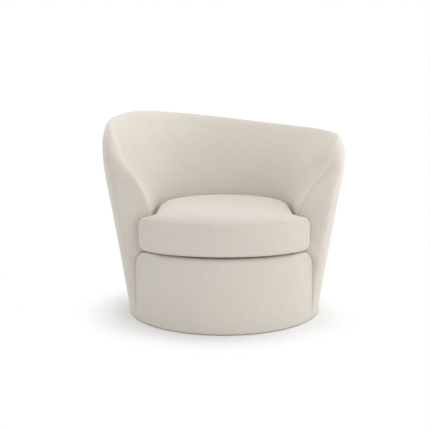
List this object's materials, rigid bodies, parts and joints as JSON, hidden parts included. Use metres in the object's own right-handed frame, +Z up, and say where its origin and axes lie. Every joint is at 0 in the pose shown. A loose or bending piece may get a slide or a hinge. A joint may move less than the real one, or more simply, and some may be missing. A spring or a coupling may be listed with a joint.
{
  "type": "swivel barrel chair",
  "caption": "Upholstered swivel barrel chair with a flared shell, a rim that slopes from one arm to the other, and a loose crowned seat cushion.",
  "frame": {"origin": "the swivel axis at the floor, on the underside of the felt floor pad", "axes": "+Z up along the swivel axis, -Y towards the front of the seat, +X towards the low side of the rim"},
  "size_m": [0.9224, 0.838, 0.7662],
  "materials": {
    "upholstery_cloth": "plain-woven off-white linen-like cloth, matt",
    "deck_cloth": "plain deck cloth, matt",
    "felt": "dense dark felt",
    "dust_cloth": "thin black dust cloth",
    "plywood": "raw birch plywood, sanded",
    "steel": "zinc-plated pressed steel"
  },
  "bodies": {
    "base": {"floor_pad": "felt", "plinth": "plywood", "lower_swivel_plate": "steel", "plinth_screw_1": "steel", "plinth_screw_2": "steel", "plinth_screw_3": "steel", "plinth_screw_4": "steel"},
    "ball_cage": {"ball_cage": "steel"},
    "chair": {"upper_swivel_plate": "steel", "board_bolt_1": "steel", "board_bolt_2": "steel", "board_bolt_3": "steel", "board_bolt_4": "steel", "base_board": "plywood", "dust_cover": "dust_cloth", "front_panel": "plywood", "front_rail": "plywood", "back_rail": "plywood", "side_rail_left": "plywood", "side_rail_right": "plywood", "rib_1": "plywood", "rib_2": "plywood", "rib_3": "plywood", "rib_4": "plywood", "rib_5": "plywood", "rib_6": "plywood", "rib_7": "plywood", "arm_board_left": "plywood", "arm_board_right": "plywood", "top_rail": "plywood", "seat_spring_1": "steel", "front_clip_1": "steel", "back_clip_1": "steel", "seat_spring_2": "steel", "front_clip_2": "steel", "back_clip_2": "steel", "seat_spring_3": "steel", "front_clip_3": "steel", "back_clip_3": "steel", "seat_spring_4": "steel", "front_clip_4": "steel", "back_clip_4": "steel", "seat_spring_5": "steel", "front_clip_5": "steel", "back_clip_5": "steel", "deck_pad": "deck_cloth", "lining_left": "upholstery_cloth", "lining_back": "upholstery_cloth", "lining_right": "upholstery_cloth", "arm_facing_left": "upholstery_cloth", "arm_facing_right": "upholstery_cloth", "rim_roll": "upholstery_cloth", "outside_cover": "upholstery_cloth", "front_apron": "upholstery_cloth"},
    "cushion": {"seat_cushion": "upholstery_cloth"}
  },
  "joints": [
    {"name": "swivel", "type": "hinge", "parent": "base", "child": "chair", "pos_m": [0, 0, 0.03], "axis": [0, 0, 1], "continuous": true},
    {"name": "cage_roll", "type": "hinge", "parent": "base", "child": "ball_cage", "pos_m": [0, 0, 0.03], "axis": [0, 0, 1], "continuous": true},
    {"name": "cushion_lift", "type": "slide", "parent": "chair", "child": "cushion", "axis": [0, -0.2425, 0.9701], "range_m": [0, 0.25]}
  ],
  "couplings": [
    {"joint": "cage_roll", "follows": "swivel", "ratio": 0.5}
  ]
}
